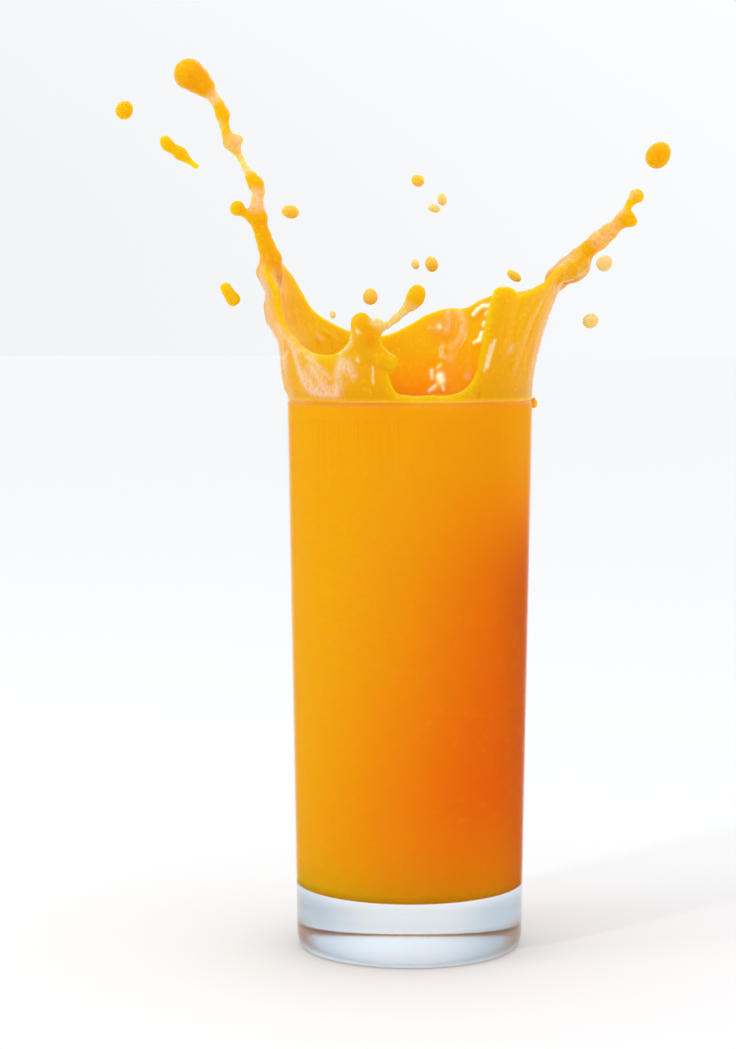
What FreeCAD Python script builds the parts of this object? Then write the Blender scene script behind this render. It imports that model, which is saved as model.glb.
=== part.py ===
"""A highball glass of orange juice, caught as the juice splashes out of its top.

The glass is a clear, straight-sided tumbler with a heavy flat base and a rounded rim.
The juice fills it to the rim and stands up from it as a hollow splash: one thin wall of
juice round the rim, high behind and at both sides and open in front, with two long
strands of beads thrown up from its sides and a short one in front.  The juice and its
splash are one solid.  The drops in the air are solids of their own.

Frame: millimetres, +Z up, origin on the glass's axis at the plane it stands on, with
the open front of the splash towards -Y.  Angles round the glass are in degrees from
-Y, positive towards +X.
"""
import FreeCAD
import Part
import os
from math import cos, pi, radians, sin

Vector = FreeCAD.Vector

# ---- The glass -------------------------------------------------------------------
glass_height = 146.0
rim_radius = 32.5            # outside, at the rim
foot_radius = 30.1           # outside, where the straight wall would meet the table
rim_wall = 1.5               # wall thickness at the rim
heel_wall = 2.1              # wall thickness just above the base
base_thickness = 16.5        # solid glass under the juice
heel_height = 5.0            # the foot's outer rounding is a quarter ellipse, this tall
heel_width = 1.6             # and this wide
floor_round = 3.2            # rounding between the inner floor and wall

# ---- The juice inside the glass --------------------------------------------------
juice_top = glass_height - 2.4   # where the juice leaves the glass's inner wall
pool_level = glass_height - 0.6  # the juice's surface in the middle
pool_radius = 12.0               # the flat middle of that surface
splash_root = 6.0                # how far the splash's own form reaches down into the juice
root_width = 8.0                 # how far in from the throat that root is flat below
throat_gap = 0.15                # how far the splash stands off the glass's inner wall
throat_rise = 1.5                # how far below and above the juice's top the throat is upright
pool_bank = 5.5                  # width of the rise from the pool to the splash's wall

# ---- The splash ------------------------------------------------------------------
# (angle, height of the splash's edge above the rim)
splash_edge = (
    (-92, 36.0), (-80, 34.5), (-71, 31.0), (-66, 26.5), (-62, 18.5), (-57, 14.4),
    (-51, 13.0), (-45, 12.2), (-39, 12.0), (-34, 12.7), (-29, 14.4), (-25, 19.5),
    (-20, 21.8), (-15, 18.8), (-11.5, 11.5), (-8, 3.6), (8, 1.9), (20, 1.8), (27.5, 3.6),
    (31.5, 11.0), (33.5, 25.5), (37, 29.2), (47, 27.4), (56, 29.0), (66, 30.8),
    (74, 32.8), (82, 34.8), (90, 35.5), (98, 34.0), (107, 31.4), (122, 29.5), (145, 27.4),
    (149, 26.3), (153, 24.9), (163, 24.4), (171, 22.9), (178, 20.5), (185, 18.2),
    (192, 17.0), (200, 17.5), (209, 18.6), (216, 20.4), (223, 23.0), (227, 25.0),
    (231, 28.6), (235, 33.0), (245, 36.5), (258, 37.0),
)
left_lean = 0.23             # outward lean of the wall on the left, mm per mm of height
right_lean = 0.085           # the same on the right, at the rim
right_flare = 0.0058         # how much the right side's lean grows, per mm of height squared
foot_inset = 0.4             # how far inside the glass's outer face the wall stands at its foot
splash_wall = 1.9            # thickness of the wall half way up
splash_lip = 1.1             # radius of the rounded edge
lip_clearance = 0.35         # how far the splash stands off the glass's rim
root_swell = 2.2             # how much thicker the wall is at its root
foot_level = 0.1             # height of the wall's foot over that clearance
wall_start = 0.4             # height of the wall's first control row over that clearance
first_row = 0.6              # that row's place, as a share of the space between rows
lip_spread = 0.3             # how far the lip's outer control points stand out of the wall
lip_low, lip_high = 0.6, 1.7     # heights of the lip's control points, in lip radii
around = 96                  # control points round the glass
wall_steps = 5               # control rows up each side of the wall

# ---- The strands: (x, y, z, radius) down their length, root first -----------------
left_strand = (
    (-34.9, -1.0, 176.2, 3.6), (-35.8, -1.0, 180.2, 3.4), (-36.6, -1.0, 183.2, 2.7),
    (-37.8, -1.2, 186.2, 2.2), (-38.8, -1.4, 189.2, 2.0), (-39.6, -1.6, 191.6, 1.9),
    (-40.1, -1.8, 193.9, 2.4), (-40.3, -1.9, 196.4, 1.8), (-40.2, -2.0, 198.6, 1.5),
    (-39.8, -2.1, 200.6, 1.6), (-40.5, -2.2, 202.5, 2.0), (-41.7, -2.3, 204.3, 1.5),
    (-43.1, -2.4, 206.4, 0.8), (-44.5, -2.6, 209.2, 0.8), (-46.0, -2.8, 211.9, 1.4),
    (-46.9, -2.9, 213.5, 2.2), (-48.0, -3.0, 215.3, 1.3), (-48.7, -3.1, 217.8, 1.2),
    (-49.1, -3.2, 220.6, 1.8), (-50.2, -3.3, 223.2, 1.4), (-51.6, -3.4, 225.2, 1.4),
    (-53.7, -3.5, 227.7, 2.5), (-55.7, -3.6, 229.5, 3.4), (-57.4, -3.7, 230.9, 3.8),
)
right_strand = (
    (34.0, 2.0, 171.0, 2.6), (36.6, 2.2, 174.8, 2.7), (39.2, 2.4, 177.7, 2.8),
    (42.3, 2.6, 180.3, 3.4), (45.0, 2.8, 183.2, 2.9), (47.4, 3.0, 185.9, 2.2),
    (50.2, 3.2, 188.1, 2.5), (52.8, 3.4, 190.3, 2.2), (54.9, 3.6, 192.1, 1.7),
    (56.8, 3.8, 194.0, 2.0), (57.6, 3.9, 196.6, 0.9), (58.7, 4.0, 198.3, 1.1),
    (60.1, 4.1, 199.8, 2.0),
)
front_strand = (
    (-11.5, -34.0, 163.5, 1.4), (-8.6, -34.0, 164.6, 1.2), (-6.3, -34.0, 165.5, 0.9),
    (-4.1, -34.0, 167.2, 1.0), (-1.8, -34.0, 169.3, 1.0), (-0.3, -34.0, 170.5, 1.5),
    (0.7, -34.0, 171.8, 2.0), (1.3, -34.0, 173.0, 2.1),
)
side_branch = (
    (-40.0, -1.8, 193.6, 1.5), (-42.0, -2.0, 194.2, 1.0), (-43.3, -2.2, 194.8, 0.9),
    (-45.1, -2.4, 196.1, 1.8),
)
upper_branch = (
    (-46.9, -2.9, 213.5, 1.2), (-45.8, -2.9, 213.9, 0.9), (-44.8, -2.9, 214.2, 1.0),
)
right_lobe = (
    (42.8, 2.6, 180.6, 2.4), (44.5, 2.7, 180.4, 2.4), (46.0, 2.8, 180.3, 1.5),
)
right_knob = (
    (57.0, 3.8, 193.9, 1.6), (58.3, 3.9, 193.6, 1.7), (59.2, 4.0, 193.0, 1.2),
)
front_lobe = (
    (-10.0, -33.4, 157.6, 1.6), (-7.6, -33.8, 156.8, 2.0), (-5.6, -34.0, 155.8, 2.2),
)
strands = (
    left_strand, side_branch, upper_branch, right_strand, right_lobe, right_knob,
    front_strand, front_lobe,
)
strand_sides = 8             # control points round a strand
shoulder_length, shoulder_width = 0.65, 0.9  # of a strand's round end, in its end radius
fitting_rounds = 4           # rounds of fitting control points to the places given

# ---- The drops: name, (x, y, z), half length, half width, lean from upright --------
drops = (
    ("far_left", (-74.9, -4.0, 221.5), 2.5, 2.25, 30),
    ("left_high", (-31.8, 14.0, 196.1), 2.4, 1.8, -79),
    ("front_left", (-10.5, -20.0, 172.7), 2.1, 1.9, 0),
    ("front_tiny", (-20.1, -24.0, 168.2), 1.0, 0.75, 0),
    ("back_high", (2.4, 12.0, 204.3), 1.8, 1.6, -64),
    ("back_twin_upper", (9.0, 18.0, 199.5), 1.75, 1.3, -10),
    ("back_twin_lower", (6.9, 16.0, 197.1), 1.7, 1.1, -74),
    ("middle_small", (1.3, -8.0, 181.4), 1.4, 1.05, -20),
    ("middle", (5.9, 6.0, 181.7), 2.1, 1.7, -17),
    ("right_near", (28.2, 10.0, 178.8), 2.2, 1.25, -53),
    ("far_right", (65.6, 4.0, 210.3), 3.75, 3.15, 35),
    ("right_high", (50.1, -12.0, 181.5), 2.2, 2.0, 49),
    ("right_low", (46.1, -18.0, 166.6), 2.1, 1.9, 55),
)
blunt_end = 0.9              # length of a drop's lower half, as a share of half its length
bent_drop = (                # a drop pinched in two: (x, y, z, radius)
    (-48.1, -10.0, 175.2, 1.5), (-47.3, -10.0, 173.9, 1.6), (-46.3, -10.0, 172.5, 1.9),
)
tailed_drop = (              # a drop with a tail
    (-63.8, -8.0, 213.3, 1.5), (-63.0, -8.0, 212.2, 1.7), (-61.6, -8.0, 211.3, 1.4),
    (-60.0, -8.0, 210.2, 1.8), (-58.4, -8.0, 208.9, 1.2), (-57.2, -8.0, 207.9, 0.8),
    (-55.9, -8.0, 206.9, 0.7),
)
rim_bead = ((33.2, 0.0, 145.0), 1.4, 0.65)  # on the outside of the rim: centre, half sizes


def outer_radius(z):
    """The glass's outside radius at height z, on its straight wall."""
    return foot_radius + (rim_radius - foot_radius) * z / glass_height


def inner_radius(z):
    """The glass's inside radius at height z, on its straight wall."""
    wall_share = (z - base_thickness) / (glass_height - base_thickness)
    return outer_radius(z) - heel_wall + (heel_wall - rim_wall) * wall_share


def revolve(edges):
    """The solid that a closed outline in the XZ plane sweeps round the axis."""
    face = Part.Face(Part.Wire(edges))
    return face.revolve(Vector(0, 0, 0), Vector(0, 0, 1), 360)


def line(start, end):
    return Part.LineSegment(Vector(*start), Vector(*end)).toShape()


def arc(start, middle, end):
    return Part.Arc(Vector(*start), Vector(*middle), Vector(*end)).toShape()


def corner(point, before, after, radius):
    """Start, middle and end of the arc that rounds a corner of an XZ outline."""
    p = Vector(*point)
    a = (Vector(*before) - p).normalize()
    b = (Vector(*after) - p).normalize()
    half = a.getAngle(b) / 2
    reach = radius / sin(half) * cos(half)
    centre = p + (a + b).normalize() * (radius / sin(half))
    middle = centre + (p - centre).normalize() * radius
    return tuple(p + a * reach), tuple(middle), tuple(p + b * reach)


def stretched_quarter(matrix):
    """A quarter of the unit circle in the XZ plane, from +Z to +X, stretched by a matrix."""
    middle = sin(radians(45))
    return arc((0, 0, 1), (middle, 0, middle), (1, 0, 0)).transformGeometry(matrix)


def heel_edge():
    """The foot's rounding, level where it meets the underside and in line with the wall."""
    lean = (rim_radius - foot_radius) / glass_height * heel_height
    return stretched_quarter(FreeCAD.Matrix(
        heel_width, 0, -lean, foot_radius - heel_width + lean,
        0, 1, 0, 0,
        0, 0, -heel_height, heel_height,
        0, 0, 0, 1,
    ))


def make_glass():
    """The tumbler: wall, rounded rim and heavy flat base."""
    rim_round = rim_wall / 2
    rim_z = glass_height - rim_round
    floor_corner = (inner_radius(base_thickness), 0, base_thickness)
    inner_top = (inner_radius(rim_z), 0, rim_z)
    floor = corner(floor_corner, inner_top, (0, 0, base_thickness), floor_round)
    rim_middle = ((inner_radius(rim_z) + outer_radius(rim_z)) / 2, 0, glass_height)
    outline = [
        line((0, 0, 0), (foot_radius - heel_width, 0, 0)),
        heel_edge(),
        line((outer_radius(heel_height), 0, heel_height), (outer_radius(rim_z), 0, rim_z)),
        arc((outer_radius(rim_z), 0, rim_z), rim_middle, inner_top),
        line(inner_top, floor[0]),
        arc(*floor),
        line(floor[2], (0, 0, base_thickness)),
        line((0, 0, base_thickness), (0, 0, 0)),
    ]
    return revolve(outline)


def edge_height(angle):
    """The splash edge's height above the rim, a smooth curve through splash_edge."""
    count = len(splash_edge)
    first = splash_edge[0][0]
    turned = (angle - first) % 360 + first
    index = max(i for i in range(count) if splash_edge[i][0] <= turned)
    knots = []
    for step in (-1, 0, 1, 2):
        laps, place = divmod(index + step, count)
        knots.append((splash_edge[place][0] + 360 * laps, splash_edge[place][1]))
    (a0, h0), (a1, h1), (a2, h2), (a3, h3) = knots
    t = (turned - a1) / (a2 - a1)
    slope_in = (h2 - h0) / (a2 - a0) * (a2 - a1)
    slope_out = (h3 - h1) / (a3 - a1) * (a2 - a1)
    return (
        h1 * (1 + 2 * t) * (1 - t) ** 2
        + slope_in * t * (1 - t) ** 2
        + h2 * t * t * (3 - 2 * t)
        - slope_out * t * t * (1 - t)
    )


def wall_radius(angle, up):
    """The splash's outside radius at one angle, at a height above the rim."""
    to_right = (1 + sin(radians(angle))) / 2
    lean = left_lean + (right_lean - left_lean) * to_right
    return rim_radius - foot_inset + lean * up + right_flare * to_right * up * up


def splash_profile(angle):
    """(radius, height) control points of the splash at one angle, from below the juice's
    top, up the outside, over the edge and down the inside to the pool."""
    foot_z = glass_height + lip_clearance
    throat = inner_radius(juice_top) - throat_gap
    profile = [
        (throat - root_width, juice_top - splash_root),
        (throat - root_width / 8, juice_top - splash_root),
        (throat, juice_top - throat_rise),
        (throat, juice_top + throat_rise),
        (throat, foot_z + foot_level),
        (wall_radius(angle, 0), foot_z + foot_level),
    ]
    rise = edge_height(angle) - lip_clearance - splash_lip
    heights = [rise * (step + first_row) / wall_steps for step in range(wall_steps)]
    for up in heights:
        profile.append((wall_radius(angle, up), foot_z + wall_start + up))
    top = foot_z + rise
    edge = wall_radius(angle, rise)
    profile += [
        (edge + lip_spread, top + splash_lip * lip_low),
        (edge - splash_wall / 2, top + splash_lip * lip_high),
        (edge - splash_wall - lip_spread, top + splash_lip * lip_low),
    ]
    for up in reversed(heights):
        thickness = splash_wall + root_swell * (1 - up / max(rise, 1.0)) ** 2
        profile.append((wall_radius(angle, up) - thickness, foot_z + wall_start + up))
    profile += [
        (throat - pool_bank, glass_height + lip_clearance),
        (throat - 2 * pool_bank, pool_level),
        (pool_radius, pool_level),
    ]
    return profile


def through(points, closed=False):
    """Control points of a smooth cubic curve that passes close to these points."""
    control = list(points)
    count = len(points)
    inner = range(count) if closed else range(1, count - 1)
    for _ in range(fitting_rounds):
        on_curve = {
            i: (control[i - 1] + control[i] * 4 + control[(i + 1) % count]) * (1 / 6)
            for i in inner
        }
        for i in inner:
            control[i] = control[i] + points[i] - on_curve[i]
    return control


def ring_factor(count):
    """How much further out a ring's control points lie than its smooth curve."""
    return 3 / (2 + cos(2 * pi / count))


def smooth_solid(rows):
    """The solid inside a smooth cubic surface: each row of control points is a closed
    ring, and the first and the last row are single points."""
    count, length = len(rows[0]), len(rows)
    columns = [[row[i] for row in rows] for i in range(count)]
    spans = length - 3
    surface = Part.BSplineSurface()
    surface.buildFromPolesMultsKnots(
        columns,
        [1] * (count + 1),
        [4] + [1] * (spans - 1) + [4],
        [float(k) for k in range(count + 1)],
        [float(k) for k in range(spans + 1)],
        True,
        False,
        3,
        3,
    )
    solid = Part.Solid(Part.Shell([surface.toShape()]))
    if solid.Volume < 0:
        solid.reverse()
    return solid


def make_splash():
    """The splash with the pool inside it, rooted in the top of the juice."""
    angles = [360.0 * i / around for i in range(around)]
    profiles = [splash_profile(angle) for angle in angles]
    rows = [[Vector(0, 0, juice_top - splash_root)] * around]
    for step in range(len(profiles[0])):
        row = []
        for angle, profile in zip(angles, profiles):
            radius, z = profile[step]
            row.append(Vector(radius * sin(radians(angle)), -radius * cos(radians(angle)), z))
        rows.append(through(row, closed=True))
    rows.append([Vector(0, 0, pool_level)] * around)
    return smooth_solid(rows)


def juice_in_glass():
    """The juice below the top of the glass, filling its inside."""
    floor_corner = (inner_radius(base_thickness), 0, base_thickness)
    top = (inner_radius(juice_top), 0, juice_top)
    floor = corner(floor_corner, top, (0, 0, base_thickness), floor_round)
    outline = [
        line((0, 0, base_thickness), floor[2]),
        arc(*reversed(floor)),
        line(floor[0], top),
        line(top, (0, 0, juice_top)),
        line((0, 0, juice_top), (0, 0, base_thickness)),
    ]
    return revolve(outline)


def strand(stations):
    """A round, beaded strand of juice through (x, y, z, radius) stations, with round ends."""
    places = through([Vector(*station[:3]) for station in stations])
    sizes = through([station[3] for station in stations])
    factor = ring_factor(strand_sides)
    last = len(places) - 1
    rings = []
    for i, place in enumerate(places):
        along = (places[min(i + 1, last)] - places[max(i - 1, 0)]).normalize()
        across = Vector(0, 1, 0).cross(along).normalize()
        upward = along.cross(across)
        turns = [2 * pi * k / strand_sides for k in range(strand_sides)]
        ring = [(across * cos(turn) + upward * sin(turn)) * factor for turn in turns]
        rings.append((place, along, sizes[i], ring))
    rows = []
    for place, along, size, ring in rings:
        rows.append([place + spoke * size for spoke in ring])
    for end, outward in ((0, -1), (last, 1)):
        place, along, size, ring = rings[end]
        shoulder = place + along * (outward * size * shoulder_length)
        tip = place + along * (outward * size)
        cap = [
            [shoulder + spoke * (size * shoulder_width) for spoke in ring],
            [tip + spoke * (size * shoulder_width / 2) for spoke in ring],
            [tip] * strand_sides,
        ]
        rows = cap[::-1] + rows if end == 0 else rows + cap
    return smooth_solid(rows)


def quarter_ellipse(across, along):
    """A quarter of an ellipse in the XZ plane, from its end on the Z axis to its side."""
    stretch = FreeCAD.Matrix()
    stretch.scale(across, 1, along)
    return stretched_quarter(stretch)


def drop(centre, half_length, half_width, lean):
    """An egg-shaped drop, its blunt end down, leaning in the XZ plane."""
    low = half_length * blunt_end
    high = 2 * half_length - low
    outline = [
        quarter_ellipse(half_width, high),
        quarter_ellipse(half_width, -low),
        line((0, 0, -low), (0, 0, high)),
    ]
    solid = revolve(Part.__sortEdges__(outline))
    solid.rotate(Vector(0, 0, 0), Vector(0, 1, 0), lean)
    solid.translate(Vector(*centre))
    return solid


def make_juice():
    """The juice with its splash and strands, in one solid."""
    juice = juice_in_glass().fuse(make_splash())
    for stations in strands:
        juice = juice.fuse(strand(stations))
    return juice.Solids[0]


def export(name, shape):
    shape.exportStep(os.path.join("parts", name + ".step"))
    print(name, "valid", shape.isValid(), "solids", len(shape.Solids), "volume", round(shape.Volume, 2))


def main():
    os.makedirs("parts", exist_ok=True)
    export("glass", make_glass())
    export("juice", make_juice())
    for name, centre, half_length, half_width, lean in drops:
        export("drop_" + name, drop(centre, half_length, half_width, lean))
    export("drop_left_low", strand(bent_drop))
    export("drop_tailed", strand(tailed_drop))
    export("drop_on_rim", drop(*rim_bead, 0))


main()
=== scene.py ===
"""A glass of orange juice whose juice splashes out of the top.

The glass is the CAD node with a clear material.  The juice is rebuilt as one liquid
surface: a signed distance field of the top of the juice, the splash's wall and its beaded
strands, blended smoothly into each other, turned into a mesh and joined to the juice in
the glass.  Lengths are millimetres up to the materials, and metres from there on; every
object in the scene is in metres, in the CAD frame.
"""

import math

import bmesh
import bpy
import numpy as np
import openvdb
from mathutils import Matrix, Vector, noise


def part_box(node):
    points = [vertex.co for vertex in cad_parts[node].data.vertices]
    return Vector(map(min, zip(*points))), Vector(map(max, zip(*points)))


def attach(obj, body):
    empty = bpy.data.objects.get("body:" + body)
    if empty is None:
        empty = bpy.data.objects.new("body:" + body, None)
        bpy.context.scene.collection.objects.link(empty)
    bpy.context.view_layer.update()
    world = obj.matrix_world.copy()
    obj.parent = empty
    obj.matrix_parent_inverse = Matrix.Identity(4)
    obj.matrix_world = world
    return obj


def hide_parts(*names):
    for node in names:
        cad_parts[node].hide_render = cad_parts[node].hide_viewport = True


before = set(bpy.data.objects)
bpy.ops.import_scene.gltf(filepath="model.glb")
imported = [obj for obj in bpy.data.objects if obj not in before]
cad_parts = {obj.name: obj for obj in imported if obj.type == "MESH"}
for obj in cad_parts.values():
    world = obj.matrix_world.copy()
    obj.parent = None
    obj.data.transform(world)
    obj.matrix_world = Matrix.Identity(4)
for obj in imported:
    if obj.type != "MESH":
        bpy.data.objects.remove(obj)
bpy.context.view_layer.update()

MM = 0.001

# ---- Places, from the CAD ----------------------------------------------------------------
glass_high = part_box("glass")[1]
RIM_RADIUS = glass_high.x / MM
RIM_HEIGHT = glass_high.z / MM
JUICE_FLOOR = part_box("juice")[0].z / MM
FOOT_RADIUS = 30.1                 # of the glass's outside
RIM_WALL, HEEL_WALL = 1.5, 2.1     # thickness of the glass's wall, at the rim and above the base
FLOOR_ROUND = 3.2                  # rounding of the glass's inner floor
INTO_WALL = 0.2                    # how far the juice reaches into the glass's wall
INTO_RIM = 0.12                    # and into the top of its rim
SHOULDER = RIM_HEIGHT - 2.4        # where the splash takes over from the juice in the glass
SEAM = 0.3                         # height of the last row of faces below that
POOL_LEVEL = RIM_HEIGHT - 0.6      # the top of the juice inside the splash
POOL_INSET = 0.12                  # how far that stays inside the juice below it
BODY_SIDES, BODY_ROWS, FLOOR_STEPS = 192, 6, 10

# ---- The splash's wall: (degrees from the front, height of its edge above the rim) -------
SPLASH_EDGE = (
    (-92, 36.0), (-80, 34.5), (-71, 31.5), (-67, 28.0), (-65, 23.5), (-63, 19.0),
    (-60, 16.2), (-56, 14.2), (-51, 13.0), (-45, 12.2), (-39, 12.0), (-34, 12.7),
    (-30, 14.0), (-27.2, 15.8), (-25.4, 18.4), (-23.5, 20.2), (-21, 21.0), (-17, 20.3),
    (-14.5, 18.6), (-12.4, 14.5), (-11, 9.5), (-9.6, 5.5), (-7.5, 2.9), (-3, 1.9), (8, 1.8),
    (18, 1.9), (24, 3.0), (28, 4.8), (30.6, 7.5), (31.8, 11.5), (32.2, 17.0), (32.4, 23.0),
    (33.0, 27.4), (34.6, 29.0), (37.5, 29.3), (41, 29.0), (44, 28.2), (46.9, 27.3), (50.6, 28.0),
    (57, 29.6), (62, 31.0), (66, 33.0), (70, 34.8), (76, 35.6), (82, 35.9), (90, 35.9), (98, 34.0),
    (107, 31.4), (122, 29.5), (145, 27.4), (149, 26.3), (153, 24.9), (163, 24.4),
    (171, 22.9), (178, 20.5), (185, 18.2), (192, 17.0), (200, 17.5), (209, 18.6),
    (216, 20.4), (223, 23.0), (227, 25.0), (231, 28.6), (235, 33.0), (238, 34.9), (241, 36.6),
    (245, 38.6), (250, 39.4), (258, 38.4),
)
LEFT_LEAN, RIGHT_LEAN = 0.23, 0.085    # how far the wall leans out for each mm of height
RIGHT_FLARE = 0.0058                   # how fast its right side flares, for each mm squared
LEAN_FLOOR = -2.0                      # below this height it doesn't lean in any further
LEFT_SIDE = -85                        # degrees from the front
LEFT_WAVE = (   # (height above the rim, how far the left side stands out of its plain lean)
    (0, -0.3), (3, 0.5), (7, 0.4), (12, -0.4), (15.5, -0.6), (17, 0.0), (20, 1.0),
    (24, 0.7), (28, -0.3), (32, 0.0), (40, 0.0),
)
FOOT_INSET = 0.4           # how far inside the glass's outer face the wall stands
WALL_HALF = 0.95           # half the wall's thickness near its edge
ROOT_SWELL = 1.1           # how much more that is at its foot
LEAST_HEIGHT = 1.0         # the wall's height, for that swelling, where its edge is lower still
STRAND_ROOTS = ((-91, 13, 1.9), (94, 11, 1.5))   # thicker here: angle, width, how much more
ROOT_START, ROOT_RISE, ROOT_EASE = 10.0, 24.0, 1.5   # from this height on, growing over this rise

# ---- Strokes on the splash's wall ---------------------------------------------------------
# Each stroke is (side, half width, strength, points), with side 1 outside and -1 inside, and
# with points as (degrees from the front, height above the rim).
# RELIEF stands out of the wall by its strength, in mm.
RELIEF = (
    (-1, 0.9, 0.8, ((148.6, 22.6), (146.9, 24.0), (144.8, 24.9), (141.1, 25.0))),
    (-1, 0.9, 0.8, ((142.6, 17.5), (143.0, 15.7), (145.9, 14.8))),
    (-1, 0.8, 0.7, ((142.4, 19.7), (142.2, 20.3))),
    (-1, 0.8, 0.5, ((142.3, 22.7), (141.6, 23.2))),
    (-1, 1.3, 1.0, ((162.9, 5.4), (161.9, 4.6))),
    (-1, 0.8, 0.6, ((167.6, 7.0), (167.2, 5.4))),
    (-1, 0.8, 0.6, ((163.2, 8.7), (164.4, 8.0))),
    (-1, 0.8, 0.6, ((168.0, 1.6), (165.2, 2.9))),
    (-1, 0.8, 0.6, ((160.6, 2.6), (160.0, 1.8))),
    (-1, 2.6, 0.6, ((165.5, 19.3), (164.5, 19.1))),
    (-1, 0.9, 0.5, ((169.6, 10.2), (168.4, 10.9))),
    (-1, 1.2, 0.35, ((156.5, 23.0), (154.8, 20.4), (153.6, 17.8), (155.8, 15.2), (158.4, 13.2))),
    (-1, 1.0, 0.5, ((162.0, 23.0), (160.2, 20.5), (160.6, 17.6))),
    (-1, 1.1, 0.8, ((227.7, 16.0), (227.2, 15.7))),
    (-1, 0.8, 0.5, ((222.6, 17.8), (218.5, 16.2), (219.6, 12.6), (224.4, 11.4))),
    (1, 0.8, 0.25, ((-16.9, 9.2), (-17.3, 4.6))),
    (1, 0.9, 0.5, ((-21.4, 18.4), (-21.0, 18.0))),
    (1, 0.7, 0.45, ((-23.0, 11.6), (-23.0, 10.4))),
    (1, 0.9, 0.45, ((-66.0, 18.5), (-62.0, 14.5), (-58.8, 11.6), (-57.4, 8.9), (-55.6, 6.5),
                    (-52.6, 3.9), (-48.3, 2.4), (-42.0, 1.9), (-36.4, 2.6))),
    (1, 0.9, 0.45, ((-36.4, 2.6), (-33.6, 4.6), (-32.6, 7.4), (-30.5, 9.6), (-27.8, 9.0))),
    (1, 0.8, 0.4, ((-50.5, 11.6), (-46.5, 10.4), (-44.8, 8.2), (-41.6, 5.4))),
    (1, 0.7, 0.35, ((-46.0, 11.2), (-42.0, 9.0), (-38.4, 6.4))),
    (1, 0.8, -0.3, ((-53.5, 8.6), (-49.5, 5.8), (-43.5, 3.9))),
    (1, 0.8, 0.6, ((-71.8, 12.7), (-68.0, 10.1))),
    (1, 0.8, 0.6, ((-73.7, 9.0), (-67.0, 12.6))),
    (1, 0.9, 0.22, ((42.8, 22.0), (42.6, 17.0), (42.2, 12.0))),
    (1, 0.9, -0.22, ((46.7, 26.5), (46.9, 20.0), (47.5, 12.0))),
    (1, 1.0, 0.25, ((60.0, 26.0), (55.5, 21.0), (52.2, 14.0), (51.0, 6.0))),
    (1, 1.0, -0.2, ((64.0, 25.0), (60.0, 18.0), (57.0, 10.0))),
    (1, 0.9, 0.2, ((39.5, 25.0), (38.6, 18.0), (37.0, 11.0), (35.4, 6.0))),
)
# These strokes are painted highlights: white glints painted into the splash's colour.
PAINTED_GLINTS = (
    (-1, 0.50, 1.0, ((148.6, 22.6), (146.9, 24.0), (144.8, 24.9), (141.1, 25.0))),
    (-1, 0.55, 1.0, ((142.6, 17.5), (143.0, 15.7))),
    (-1, 0.45, 0.8, ((143.0, 15.7), (145.9, 14.8))),
    (-1, 0.50, 0.8, ((142.4, 19.7), (142.2, 20.3))),
    (-1, 0.45, 0.7, ((142.3, 22.7), (141.6, 23.2))),
    (-1, 1.10, 1.2, ((162.9, 5.6), (161.9, 4.4))),
    (-1, 0.40, 0.8, ((167.6, 7.2), (167.2, 5.0))),
    (-1, 0.40, 0.6, ((163.2, 8.7), (164.4, 8.0))),
    (-1, 0.50, 0.8, ((168.0, 1.6), (165.2, 2.9))),
    (-1, 0.40, 0.7, ((160.6, 2.6), (160.0, 1.8))),
    (-1, 0.50, 0.6, ((165.1, 19.4), (164.8, 19.1))),
    (1, 0.3, 0.5, ((36.8, 15.8), (36.0, 12.3), (34.9, 8.9))),
    (1, 0.3, 0.4, ((35.2, 14.6), (34.4, 11.0), (33.6, 8.0))),
    (1, 0.25, 0.35, ((-16.9, 9.0), (-17.3, 5.0))),
    (1, 0.35, 0.5, ((-21.4, 18.2), (-21.1, 17.8))),
    (1, 0.30, 0.5, ((-23.0, 11.4), (-23.0, 10.6))),
)
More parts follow.
